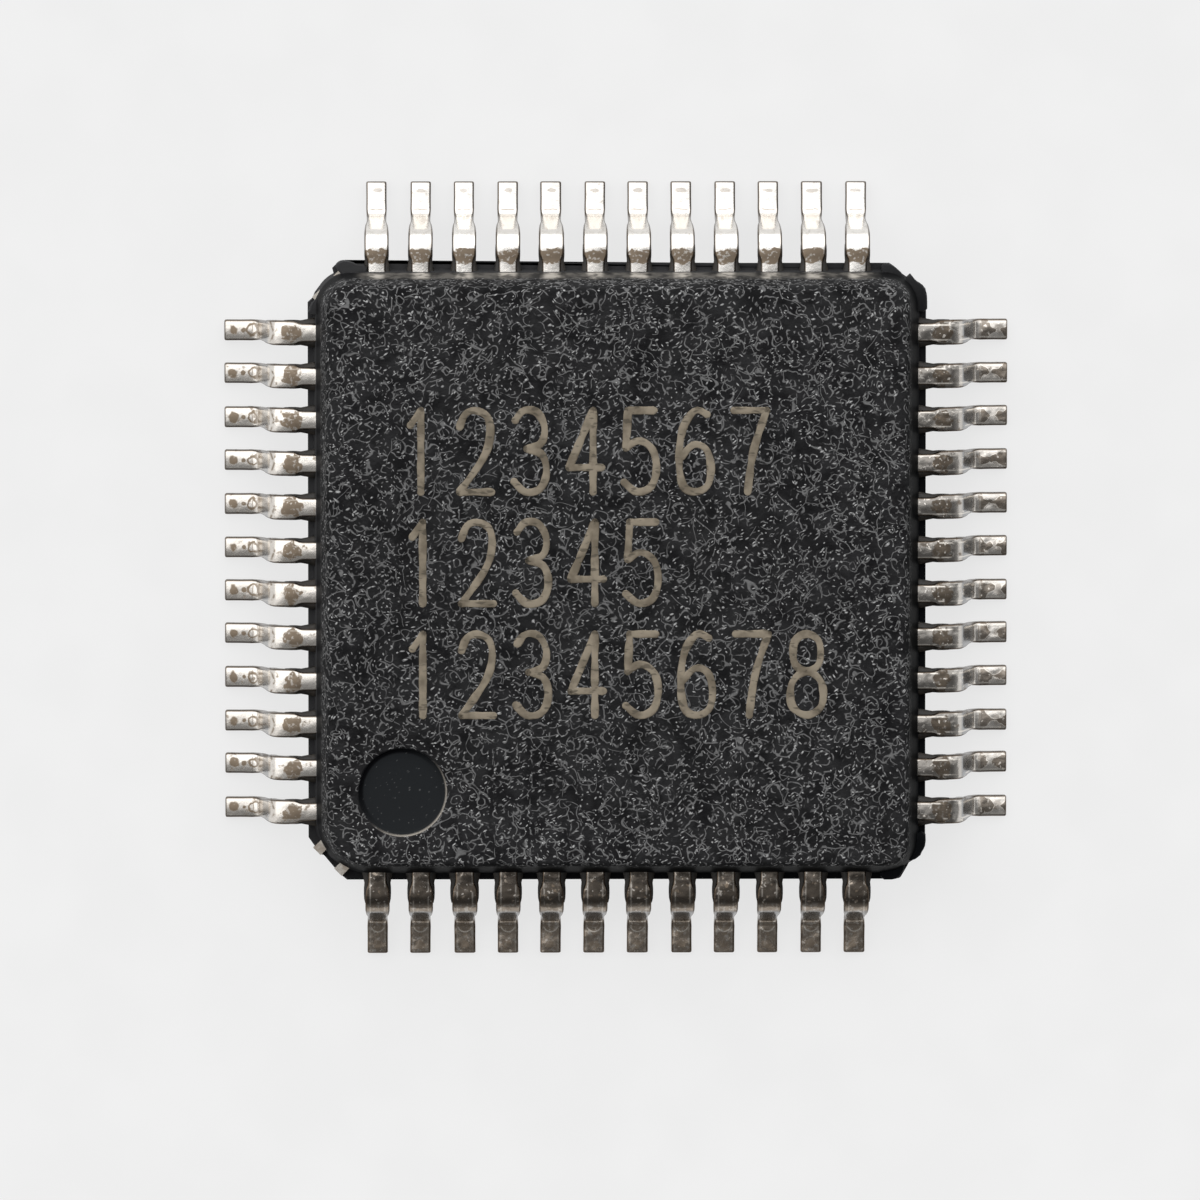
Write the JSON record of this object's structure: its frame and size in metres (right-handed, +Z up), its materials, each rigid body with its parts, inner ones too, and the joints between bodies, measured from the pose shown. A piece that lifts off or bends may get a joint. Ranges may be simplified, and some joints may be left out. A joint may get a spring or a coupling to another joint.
{
  "type": "quad flat pack chip",
  "caption": "Thin square moulded chip package with gull-wing leads on all four sides and a round dimple that marks the first lead.",
  "frame": {"origin": "centre of the package on the plane that the lead feet stand on", "axes": "+Z up out of the marked face, +X to the right and +Y away from the viewer, with the dimple at the near left corner"},
  "size_m": [0.009, 0.0088, 0.0015],
  "materials": {
    "mould_compound": "eroded texture on the faces, smooth drafted flanks",
    "tinned_lead": "matte tin plating, handled and slightly stained",
    "plated_frame": "plated sheet metal, sealed inside apart from the cut bar ends",
    "silver_epoxy": "cured adhesive filled with silver flakes",
    "silicon": "polished silicon",
    "gold_wire": "drawn gold wire"
  },
  "bodies": {
    "root": {"moulded_body": "mould_compound", "lead_01": "tinned_lead", "lead_02": "tinned_lead", "lead_03": "tinned_lead", "lead_04": "tinned_lead", "lead_05": "tinned_lead", "lead_06": "tinned_lead", "lead_07": "tinned_lead", "lead_08": "tinned_lead", "lead_09": "tinned_lead", "lead_10": "tinned_lead", "lead_11": "tinned_lead", "lead_12": "tinned_lead", "lead_13": "tinned_lead", "lead_14": "tinned_lead", "lead_15": "tinned_lead", "lead_16": "tinned_lead", "lead_17": "tinned_lead", "lead_18": "tinned_lead", "lead_19": "tinned_lead", "lead_20": "tinned_lead", "lead_21": "tinned_lead", "lead_22": "tinned_lead", "lead_23": "tinned_lead", "lead_24": "tinned_lead", "lead_25": "tinned_lead", "lead_26": "tinned_lead", "lead_27": "tinned_lead", "lead_28": "tinned_lead", "lead_29": "tinned_lead", "lead_30": "tinned_lead", "lead_31": "tinned_lead", "lead_32": "tinned_lead", "lead_33": "tinned_lead", "lead_34": "tinned_lead", "lead_35": "tinned_lead", "lead_36": "tinned_lead", "lead_37": "tinned_lead", "lead_38": "tinned_lead", "lead_39": "tinned_lead", "lead_40": "tinned_lead", "lead_41": "tinned_lead", "lead_42": "tinned_lead", "lead_43": "tinned_lead", "lead_44": "tinned_lead", "lead_45": "tinned_lead", "lead_46": "tinned_lead", "lead_47": "tinned_lead", "lead_48": "tinned_lead", "die_paddle": "plated_frame", "die_adhesive": "silver_epoxy", "die": "silicon", "bond_wires_near": "gold_wire", "bond_wires_right": "gold_wire", "bond_wires_far": "gold_wire", "bond_wires_left": "gold_wire"}
  },
  "joints": []
}
